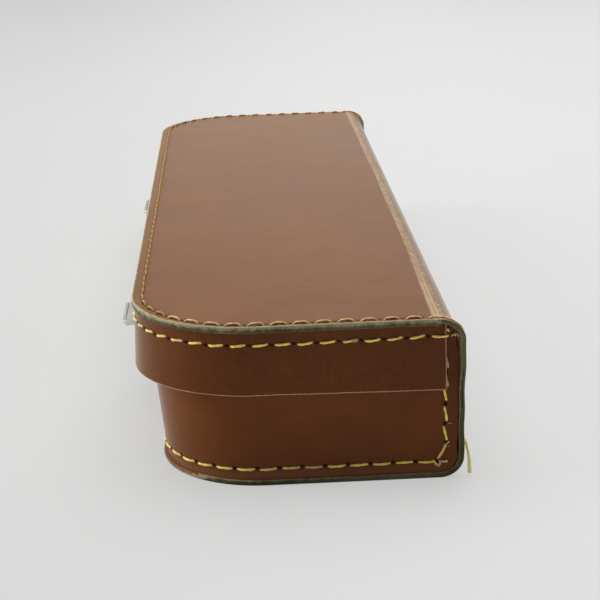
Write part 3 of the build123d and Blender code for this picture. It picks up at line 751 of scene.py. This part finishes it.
on_front = part(front_x + 26 * MM - top_starts[:, 0], 14 * MM)
rubbed = 0.5 + 0.08 * np.sin(np.arange(len(top_starts)) * 1.7) + 1.0 * (on_front > 0.9)
thickness = (0.37 + 0.01 * on_front[:, None, None]) * MM
sew("lid_top_threads", "lid_top_stitching", top_starts, top_stops, (0, 0, 1), "lid", rubbed, thickness,
    0.42 * MM, 0.2 * MM, (0.6 * MM, 0.4 * MM))

# Lid band, flared towards its lower edge
band_lines = [round_line(front_x + flare, band_high.x, end_y - flare, lid_corner - flare, 110, 86, 390)
              for flare in (0, band_flare)]
row_share = (band_row - band_bottom) / (lid_underside - band_bottom)
rim_top = top_z - 2.38 * MM
band_seam = band_lines[0][0] * (1 - row_share) + band_lines[1][0] * row_share
band_starts, band_stops, band_out, band_marks = row_on_line(
    band_seam, band_lines[0][1], band_row, shift=-1.6 * MM)
band_stops[-1] = band_starts[-1] + 0.8 * (band_stops[-1] - band_starts[-1])


def band_rise(run):
    """How far the row climbs towards the near back end."""
    return 0.95 * MM * np.exp(-run / (20 * MM))


band_run = np.arange(len(band_starts)) * pitch
band_starts[:, 2] += band_rise(band_run)
band_stops[:, 2] += band_rise(band_run + stitch_length)
band_starts[0] += (0.1 * MM, 0, -0.5 * MM)
outer_levels = [35.8, 36.6, 38, 40, 43, 46, 48.5, 50, 51, 51.7, 52.2, 52.6, 53, 53.4, 53.8, 54.3, 55, 56, 57,
                rim_top / MM]
band_section = [(0.1, 35.12, 1, 0), (0, 35.4, 0.5, 0)]
band_section += [(0, level, 0, 0) for level in outer_levels]
band_section += [(2.4, level, 0, 1) for level in (rim_top / MM, 54, 46, 40, 36)]
band_section += [(2.35, 35.3, 1, 0), (2.1, 35.0, 1, 0), (1.2, 34.95, 1, 0), (0.35, 35.0, 1, 0)]


def band_waves(run, level):
    """The cut lower edge wanders a little and hangs lower towards the near back end."""
    low = part(lid_underside - level, lid_underside - band_bottom)
    droop = 0.35 + 0.75 * np.clip(1 - run / (56 * MM), 0, 1)
    wander = np.sin(run / (37 * MM)) + 0.6 * np.sin(run / (15 * MM) + 2) + 0.3 * np.sin(run / (4.1 * MM))
    return MM * low ** 2 * (0.12 * wander - droop)


# The lid band's outer face is darkened evenly by 0.55: painted shade.
lid_band = loft("lid_band_leather", band_lines, (band_bottom, lid_underside), band_section,
                lambda level: 1.0, hide, [(band_marks, band_row + band_rise(band_marks))],
                band_waves, 1.0, 0.55)
dress(lid_band, "lid", "lid_band")
band_dirt = rng.uniform(0.05, 0.3, len(band_starts))
sew("lid_band_threads", "lid_band_stitching", band_starts, band_stops, band_out, "lid", band_dirt,
    slant=0.3 * MM, hole=(0.75 * MM, 0.45 * MM), loose=False)

# Base wall, leaning forward as it rises
wall_back = back_x - 1.6 * MM
wall_lines = [round_line(wall_face(level), wall_back, end_y - wall_end, wall_corner + growth, 85, 70, 320)
              for level, growth in ((leather, 0), (lid_underside, wall_growth))]
wall_length = lengths(wall_lines[0][0])[-1]
seam_back = back_x - 6.2 * MM
base_seam, base_seam_out = round_line(
    wall_face(base_row), seam_back, end_y - wall_end, wall_corner, 80, 70, 320)
base_starts, base_stops, base_out, base_marks = row_on_line(
    base_seam, base_seam_out, base_row, 7.95 * MM, 6.5 * MM, 2.5 * MM)
base_stops[-1, 0] -= 2.5 * MM
base_marks = base_marks + wall_back - seam_back
seam_gaps = np.array([12.9, 20.1, 27.8, 39.6, 46.5]) * MM
seam_runs = np.repeat([wall_back - seam_back, wall_length - wall_back + seam_back], len(seam_gaps))
seam_spans = ((6.6, 12.6, -2.4), (13.6, 19.2, 0), (20.9, 26.6, 0), (28.6, 33.3, 0), (33.9, 38.7, 0.5),
              (40.6, 45.6, 0.6))
wall_levels = [1.72, 2.4, 3.2, 4.2, 4.8, 5.2, 5.6, 5.9, 6.2, 6.6, 7.1, 7.7, 8.6, *np.arange(9.6, 53, 0.9)]
wall_section = [(0, level, 0, 0) for level in wall_levels]
wall_section += [(0.05, 53.5, 0, 0), (0.3, 53.9, 1, 0), (0.9, 54, 1, 0), (1.8, 54, 1, 0), (2.3, 53.8, 1, 0)]
wall_section += [(2.4, level, 0, 1) for level in (53, 45, 30, 15, 1.72)]


def wall_stop(level):
    """Where the wall meets the inside of the wrapped sheet."""
    reach = fold - 1.75 * MM
    low = np.clip(fold - level, 0, reach)
    gape = 0.55 * MM * bell(level - 11.5 * MM, 3.4 * MM, 4)
    gape -= 0.6 * MM * part(8 * MM - level, 3 * MM)
    curve = back_x - fold + np.sqrt(reach ** 2 - low ** 2) + 0.15 * MM
    return curve - 0.22 * np.clip(level - 47 * MM, 0, None) - gape


def wall_horns(run, level):
    """The wall rises behind the lid band to meet the fold above it."""
    high = part(level - 49 * MM, 4 * MM)
    ends = np.minimum(run, wall_length - run)
    return 2.9 * MM * high * part(4.7 * MM - ends, 0.6 * MM)


wall_holes = [(base_marks, np.full(len(base_marks), base_row)), (seam_runs, np.tile(seam_gaps, 2))]
base_wall = loft("base_wall_leather", wall_lines, (leather, lid_underside), wall_section, wall_stop,
                 hide, wall_holes, wall_horns)
dress(base_wall, "base", "base_wall")
seam_ends = np.array([[[seam_back + (lean_x + shift) * MM, side * (end_y - wall_end), level * MM]
                       for level, shift in ((top, -0.5), (bottom, 0.5))]
                      for side in (-1, 1) for bottom, top, lean_x in seam_spans])
seam_ends[::6, 0, 0] += 3.2 * MM
seam_ends[::6, 1, 0] -= 1.0 * MM
seam_out = np.array([[0, side, 0] for side in (-1, 1) for _ in seam_spans], float)
seam_dirt = [0.2, 0.15, 0.1, 0.1, 0.6, 0.66]
# Values below zero make some base threads paler: painted light.
base_dirt = join(rng.uniform(-0.3, 0.15, len(base_starts)), seam_dirt, seam_dirt)
base_dirt[[5, 6, 7]] = (0.5, 0.28, 0.34)
base_lift = join(np.full(len(base_starts), -0.4 * MM), np.zeros(len(seam_ends)))
sew("base_threads", "base_stitching", join(base_starts, seam_ends[:, 0]), join(base_stops, seam_ends[:, 1]),
    join(base_out, seam_out), "base", base_dirt, rise=0.3 * MM, slant=0.05 * MM,
    hole=(0.82 * MM, 0.66 * MM), lift=base_lift)

# Knots at the near foot of the seam and at the top of it, measured from the seam, and a few frayed ends
knots = [(0.42, 0.2, [(-4.7, 0.2, 6.2), (-3.9, -0.6, 6.0), (-3.2, -0.3, 4.8)]),
         (0.38, 0.45, [(-3.4, -0.2, 5.3), (-2.6, -0.7, 4.4), (-1.9, -0.6, 5.2), (-2.1, -0.1, 6.4)]),
         (0.4, 0.25, [(-1.6, 0.2, 5.6), (-0.9, -0.6, 6.0), (0.7, -0.5, 6.0)]),
         (0.3, 0.5, [(-0.4, 0, 12.1), (0.5, -0.6, 12.7), (1.3, -0.2, 13.4)]),
         (0.14, 0.9, [(0.3, 0, 11.9), (1.1, -0.6, 11.4), (1.4, -0.9, 12.6)]),
         (0.14, 0.9, [(0.9, 0, 20.0), (1.5, -0.5, 20.6), (2.3, -0.3, 20.2)]),
         (0.34, 0.42, [(2.2, 0.2, 52.6), (2.8, -0.9, 53.5), (3.6, -0.8, 53.0)]),
         (0.32, 0.42, [(3.4, 0.1, 53.6), (4.2, -0.8, 53.4), (4.6, -0.2, 52.4)]),
         (0.42, 0.48, [(0.2, -2.1, 55.6), (0.5, -3.0, 55.9), (0.9, -2.2, 55.2)])]
strands("seam_knots", "base_stitching", knots, "base", (seam_back / MM, (wall_end - end_y) / MM, 0))
frays = [(0.13, 0.95, [(19.6, 0, 53.0), (20.2, -0.8, 53.6), (20.4, -1.0, 54.7)]),
         (0.13, 0.95, [(19.9, 0, 52.9), (20.9, -0.9, 53.3), (21.5, -0.6, 54.3)]),
         (0.12, 0.95, [(19.4, 0, 53.1), (19.0, -0.7, 53.9), (19.5, -1.1, 54.4)])]
strands("band_frays", "lid_band_stitching", frays, "lid", (0, -end_y / MM, 0))

# Wrapped sheet: underside, back and the fold up to the strip
flat_run = back_x - fold - base_front
arc_run = fold * math.pi / 2
back_run = top_z - 2 * fold
turns = np.cumsum([flat_run, arc_run, back_run, arc_run])


def wrap_place(a, y, depth):
    """Flat sheet folded up the back and over on top, more softly in the middle than at its ends."""
    stiff = part(np.abs(y) - end_y + 9 * MM, 8 * MM)
    stiff = stiff * stiff * (3 - 2 * stiff)
    low = np.clip((a - turns[0]) / fold, 0, math.pi / 2)
    share = part(a - turns[2], arc_run)
    along = np.clip(a, 0, turns[0])
    climb = np.clip(a - turns[1], 0, back_run) / back_run
    ahead = np.clip(a - turns[3], 0, None)
    soft = np.array([(0, -15), (0, -6.7), (-3.85, 0), (-9, 0)])[..., None]
    firm = np.array([(0.8, -8.5), (0.9, -4.4), (-3.4, 0), (-9, 0)])[..., None]
    pulls = soft + (firm - soft) * stiff
    bends = np.array([(1 - share) ** 3, 3 * share * (1 - share) ** 2, 3 * share ** 2 * (1 - share),
                      share ** 3])
    slopes = np.array([-(1 - share) ** 2, (1 - share) * (1 - 3 * share), share * (2 - 3 * share),
                       share ** 2])
    over = np.sum(pulls * bends[:, None], 0) * MM
    turn = np.sum(pulls * slopes[:, None], 0)
    turn /= np.linalg.norm(turn, axis=0)
    upper = share > 0
    swell = 0.45 + 0.45 * bell(climb - 0.87, 0.17) + 0.1 * np.sin(climb * 19)
    ends = stiff * (swell + 0.2 * (y > 0)) * MM
    bulge = ends * np.sin(low) ** 2 * (1 - share)
    rise_top = top_z + pulls[0, 1] * MM
    x = base_front + along + fold * np.sin(low)
    x = np.where(upper, back_x + over[0] - 0.8 * MM * stiff * (1 - share) ** 2, x) + bulge - ahead
    z = fold * (1 - np.cos(low)) + climb * (rise_top - fold)
    z = np.where(upper, top_z + over[1], z)
    out_x = np.where(upper, turn[1], np.sin(low))
    out_z = np.where(upper, -turn[0], -np.cos(low))
    depth = depth + 0.06 * MM * (share > 0.93)
    slant = end_y - end_slant * (1 - z / top_z)
    return np.stack([x - out_x * depth, y / end_y * slant, z - out_z * depth], 1)


def wrap_inset(a, y):
    """Distance from the front edge and both ends of the flat sheet."""
    along = np.maximum(base_corner - a, 0)
    across = np.maximum(np.abs(y) - end_y + base_corner, 0)
    away = np.where((along > 0) & (across > 0), np.hypot(along, across), np.maximum(along, across))
    return base_corner - away


def wrap_waves(a, y):
    """Groove for the stitches underneath and a slow unevenness."""
    groove = 1.1 * MM * (np.abs(wrap_inset(a, y) - 4.5 * MM) < 0.81 * MM) * (a < turns[0] - 1 * MM)
    slow = np.sin(y / (43 * MM)) * np.sin(a / (19 * MM) + 1)
    return groove + 0.05 * MM * slow


def wrap_wear_and_highlight(a, y):
    """Wear and a painted highlight that lighten the fold above the back, less so along a narrow line."""
    high = part(a - turns[2], arc_run)
    return 0.42 * high * (1 - 0.5 * bell(high - 0.72, 0.09))


back_half = stitch_length / 2
back_levels = fold + (np.arange(5) + 0.5) * back_run / 5
back_rows = [(side * (end_y - 5.6 * MM), level) for side in (-1, 1) for level in back_levels]
back_marks = np.array([turns[1] + level - fold + shift
                       for _, level in back_rows for shift in (-back_half, back_half)])
back_ys = np.array([y for y, _ in back_rows for _ in (0, 1)])
under_row, under_out = round_line(
    base_front + 4.5 * MM, back_x - fold - pitch / 2, end_y - end_slant - 4.5 * MM, base_corner - 5.3 * MM,
    60, 50, 280)
under_starts, under_stops, _, _ = row_on_line(under_row, under_out, 1.1 * MM)
# The wrap's edge is darker on its outer face (1.55) than on its inner (1.28): painted shade.
wrap_sheet = flat_sheet(
    "wrap_sheet", end_y, base_corner,
    steps(base_corner, turns[0], turns[3] + 0.2 * MM, 1.1 * MM, 0.7 * MM), 60, 230,
    sheet_section([12, 9, 7, 6.2, 5.8, 5.4, 5.31, 5.29, 4.9, 4.5, 4.1, 3.71, 3.69, 3.5, 3.1, 2.4, 1.8],
                  leather, 1.75, (1.55, 1.28)),
    wrap_place, hide, [(back_marks, back_ys, hole_reach)], wrap_waves, wrap_wear_and_highlight,
    lambda a, y: bell(a - turns[1] - 26 * MM, 9 * MM, 4),
    worn=lambda a, y: 0.85 * bell(np.hypot(a - 3 * MM, np.abs(y) - end_y + 22 * MM), 19 * MM, 4))
dress(wrap_sheet, "base", "body_wrap")
back_points = np.array([[back_x + 0.05 * MM, y * (1 - end_slant / end_y * (1 - level / top_z)), level]
                        for y, level in back_rows])
half_up = np.array([0, 0, back_half])
sew("back_threads", "back_stitching", back_points - half_up, back_points + half_up, (1, 0, 0), "base",
    rng.uniform(0, 0.4, len(back_points)))
sew("underside_threads", "underside_stitching", under_starts, under_stops, (0, 0, -1), "base",
    rng.uniform(0.2, 0.8, len(under_starts)))

# Loose thread end at the foot of the back seam: two strands side by side
tail_low, tail_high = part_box("thread_tail")
# The tail's dirt below zero paints it pale: painted light on a shaded thread.
tail = [(0.38, -0.7, [(-3.2, 0, 14.2), (-1.9, -0.3, 13.8), (-1.1, -0.3, 10.4), (-0.2, -0.3, 6.4),
                      (-0.1, -0.3, 0.7)]),
        (0.34, -0.6, [(-3.2, 0.5, 13.2), (-2.0, 0.4, 12.6), (-1.2, 0.4, 9.6), (-0.7, 0.4, 5.8),
                      (-0.75, 0.3, 0.6)])]
strands("thread_end", "thread_tail", tail, "base", (tail_high.x / MM, (tail_low.y + tail_high.y) / MM / 2, 0))

# Last stitch of the top row, which crosses the crease and runs down over the fold
corner_line = ((45.6, 1.9, 58.9), (46.1, 1.9, 60.3), (48.3, 1.8, 60.35), (50.4, 1.8, 60.2), (52.6, 1.6, 59.7),
               (54.9, 1.3, 58.6), (56.3, 1.0, 57.5), (57.3, 0.9, 56.4), (57.8, 1.1, 54.9))
corners = [(0.28, 0.4, [(x, side * (end_y / MM - inset), z) for x, inset, z in corner_line])
           for side in (-1, 1)]
corner_threads = strands("corner_threads", "lid_top_stitching", corners, None)
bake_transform(corner_threads)


# Copies of nodes with softened edges
def softened(name, node, width, body, material, segments=2):
    """Copy of a node's shape with its sharp edges rounded."""
    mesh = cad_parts[node].data.copy()
    mesh.name = name
    coat(mesh, material)
    work = bmesh.new()
    work.from_mesh(mesh)
    bmesh.ops.remove_doubles(work, verts=work.verts, dist=0.005 * MM)
    bmesh.ops.dissolve_limit(work, angle_limit=math.radians(0.6), verts=work.verts, edges=work.edges)
    edges = [edge for edge in work.edges if edge.is_manifold and edge.calc_face_angle() > math.radians(35)]
    bmesh.ops.bevel(work, geom=edges, offset=width, segments=segments, profile=0.5, affect="EDGES",
                    clamp_overlap=True)
    work.to_mesh(mesh)
    work.free()
    mesh.shade_smooth()
    mesh.set_sharp_from_angle(angle=math.radians(40))
    made = put(name, mesh)
    level = made.modifiers.new("level", "WEIGHTED_NORMAL")
    level.weight = 100
    level.keep_sharp = True
    settled(made)
    dress(made, body, node)


metal_copies = (("latch_leaf_", "hasp_leaf_", 0.15, "lid"), ("latch_hasp_", "hasp_", 0.2, "hasp_"),
                ("lock_plate_", "lock_base_", 0.15, "base"), ("lock_cover_", "lock_case_", 0.12, "base"),
                ("lock_thumb_", "lock_slide_", 0.15, "slide_"), ("handle_ear_", "handle_mount_", 0.2, "base"))
for end in ("near", "far"):
    for name, node, width, body in metal_copies:
        rider = body + end if body.endswith("_") else body
        softened(name + end, node + end, width * MM, rider, nickel)
    for name in ("hasp_pin_", "hasp_spring_", "slide_spring_"):
        coat(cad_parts[name + end].data, steel)
for name in ("hasp_leaf_rivets", "lock_rivets", "handle_rivets", "handle_bail"):
    coat(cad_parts[name].data, nickel)


# Handle grip: leather rolled round the bail and sewn along its underside
def grip_shape():
    low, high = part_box("handle_grip")
    centre = (low + high) / 2
    half = (high.y - low.y) / 2
    rows, sides, stitches = 90, 48, 12
    along = np.linspace(-1, 1, rows)[:, None]
    turn = circle(sides)
    closing = part((1 - np.abs(along)) * half, 1.1 * MM)
    swell = 4.1 * MM + 0.88 * MM * (1 - along ** 2)
    swell = 1.85 * MM + (swell - 1.85 * MM) * np.sqrt(1 - (1 - closing) ** 2)
    ridge = 0.2 * MM * bell(turn - 1.5 * math.pi, 0.16)
    creases = 0.07 * MM * np.sin(along * 55 + 2 * np.sin(turn)) * np.cos(turn) ** 2
    radius = swell + (ridge + creases) * closing - 0.12 * MM
    points = np.stack([centre.x + radius * np.cos(turn), np.tile(centre.y + along * half, (1, sides)),
                       centre.z + radius * np.sin(turn)], -1)
    index = grid(rows, sides)
    ends = np.repeat(np.abs(along) > 0.985, sides) * 0.9
    made = piece("grip_leather", points, pipe(index), [hide], {"paint": ends})
    dress(made, "handle", "handle_grip")
    spots = np.linspace(-0.9, 0.9, stitches) * half
    under = centre.z - 4.75 * MM - 0.2 * MM * (1 - (spots / half) ** 2)
    base = np.stack([np.full(stitches, centre.x), spots, under], 1)
    step = np.array([0, 1.7 * MM, 0])
    sew("grip_threads", None, base - step, base + step, (0, 0, -1), "handle",
        rng.uniform(0.2, 0.6, stitches), 0.3 * MM)


grip_shape()


# Plush inside: cradles, linings and the lid's pad
def plush_block(node):
    """Upholstered copy of a cradle, with rounded rims and an uneven surface."""
    made = put("plush_" + node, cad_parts[node].data.copy())
    remesh = made.modifiers.new("remesh", "REMESH")
    remesh.mode = "VOXEL"
    remesh.voxel_size = 1.6 * MM
    soften = made.modifiers.new("soften", "SMOOTH")
    soften.factor = 0.6
    soften.iterations = 5
    shaped = settled(made)
    points = np.array([vertex.co for vertex in shaped.vertices], np.float32)
    normals = np.array([vertex.normal for vertex in shaped.vertices], np.float32)
    x, y, z = points.T / MM
    swell = np.sin(x / 5.1 + 2) * np.sin(y / 6.7) + 0.6 * np.sin(x / 2.3) * np.sin(y / 3.1 + z / 2.7)
    points = points + normals * (0.12 * MM * swell - 0.1 * MM)[:, None]
    shaped.vertices.foreach_set("co", points.astype(np.float32).reshape(-1))
    coat(shaped, velvet)
    shaped.shade_smooth()
    dress(made, "base", node)


for cradle in ("body_cradle", "head_cradle", "foot_cradle"):
    plush_block(cradle)

lining_gap = 0.1 * MM
skin_low, skin_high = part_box("wall_lining")


def lining_line(level):
    """Plan line of the wall's inner face at a level."""
    corner = wall_corner - leather - lining_gap
    corner += wall_growth * (level - skin_low.z) / (skin_high.z - skin_low.z)
    return round_line(wall_face(level) + leather + lining_gap, skin_high.x, skin_high.y, corner, 50, 40, 160)


top = skin_high.z / MM
lining_section = [(0, level, 0, 0) for level in np.linspace(skin_low.z / MM, top - 0.5, 14)]
lining_section += [(0.2, top - 0.15, 0, 0), (0.75, top, 0, 0), (1.3, top - 0.15, 0, 0)]
lining_section += [(1.5, level, 0, 0) for level in np.linspace(top - 0.5, skin_low.z / MM, 14)]
wall_plush = loft("plush_wall_lining", [lining_line(skin_low.z), lining_line(skin_high.z)],
                  (skin_low.z, skin_high.z), lining_section,
                  lambda level: wall_stop(level) - lining_gap, velvet)
dress(wall_plush, "base", "wall_lining")
softened("plush_back_lining", "back_lining", 0.5 * MM, "base", velvet, 3)
softened("plush_floor_lining", "floor_lining", 0.4 * MM, "base", velvet)


def hanging_sheet(name, node, corner, section, side):
    """Plush piece under the lid, its outer face turned down."""
    low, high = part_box(node)

    def place(a, y, depth):
        return np.stack([low.x + a, y, low.z + depth], 1)

    def uneven(a, y):
        ripple = np.sin(a / (9 * MM)) * np.sin(y / (13 * MM)) + 0.5 * np.sin(y / (5 * MM) + a / (7 * MM))
        return 0.08 * MM * ripple

    marks = np.linspace(corner, high.x - low.x, 30)
    rows = np.array([(inset * MM, depth * MM, 0, inside, 0) for inset, depth, inside in section])
    made = flat_sheet(name, high.y, corner, marks, 24, side, rows, place, velvet, waves=uneven)
    return dress(made, "lid", node)


board_section = [(12, 0.02, 0), (5, 0, 0), (1.2, 0.02, 0), (0.5, 0.15, 0), (0.1, 0.5, 0), (0, 0.9, 0),
                 (0, 1.8, 1), (12, 1.8, 1)]
hanging_sheet("plush_lid_board", "lid_lining", 40 * MM, board_section, 130)
pad_section = [(24, 0, 0), (18, 0.05, 0), (13, 0.2, 0), (9, 0.5, 0), (6, 1.0, 0), (4, 1.6, 0), (2.4, 2.3, 0),
               (1.2, 3.1, 0), (0.4, 4.0, 0), (0, 4.8, 0), (0.15, 5.15, 0), (12, 5.18, 1)]
lid_pad = hanging_sheet("plush_lid_pad", "lid_pad", 27.8 * MM, pad_section, 150)


# Floor, lamps and background
def lay_floor():
    """Pale floor that sweeps up behind the case."""
    bend = np.linspace(0, math.pi / 2, 13)[1:]
    back = join(np.linspace(-3, 1.2, 22), 1.2 + 0.8 * np.sin(bend), [2.0, 2.0])
    rise = join(np.zeros(22), 0.8 * (1 - np.cos(bend)), [1.6, 3.0])
    x, y = np.meshgrid(np.linspace(-3, 3, 25), back)
    z = np.tile(rise[:, None], (1, 25))
    made = piece("floor", np.stack([x, y, z], -1), quads(grid(*x.shape)), [floor_paint()])


def lamp(name, place, target, size, power):
    data = bpy.data.lights.new(name, "AREA")
    data.shape = "RECTANGLE"
    data.size, data.size_y = size
    data.energy = power
    made = put(name, data)
    made.location = place
    made.rotation_euler = (Vector(target) - Vector(place)).to_track_quat("-Z", "Y").to_euler()


def light_up(dim, pale):
    """World that lights the case dimly and shows a pale background in mirrors and to the camera."""
    world = bpy.data.worlds.new("world")
    world.use_nodes = True
    nodes = Nodes(world.node_tree)
    shader = nodes.tree.nodes["Background"]
    nodes.feed(shader.inputs["Color"], nodes.mix(nodes.seen(), dim, pale))
    shader.inputs["Strength"].default_value = 1.0
    bpy.context.scene.world = world


lay_floor()
lamp("overhead", (0.0, 0.45, 1.5), (0, 0.05, 0), (1.8, 1.8), 46.5)
lamp("left", (-1.5, 0.15, 0.5), (0, 0, 0.05), (0.7, 1.2), 26)
light_up((0.205, 0.205, 0.205, 1), (0.72, 0.72, 0.71, 1))
bpy.context.scene.view_settings.view_transform = "Standard"
aim_camera()
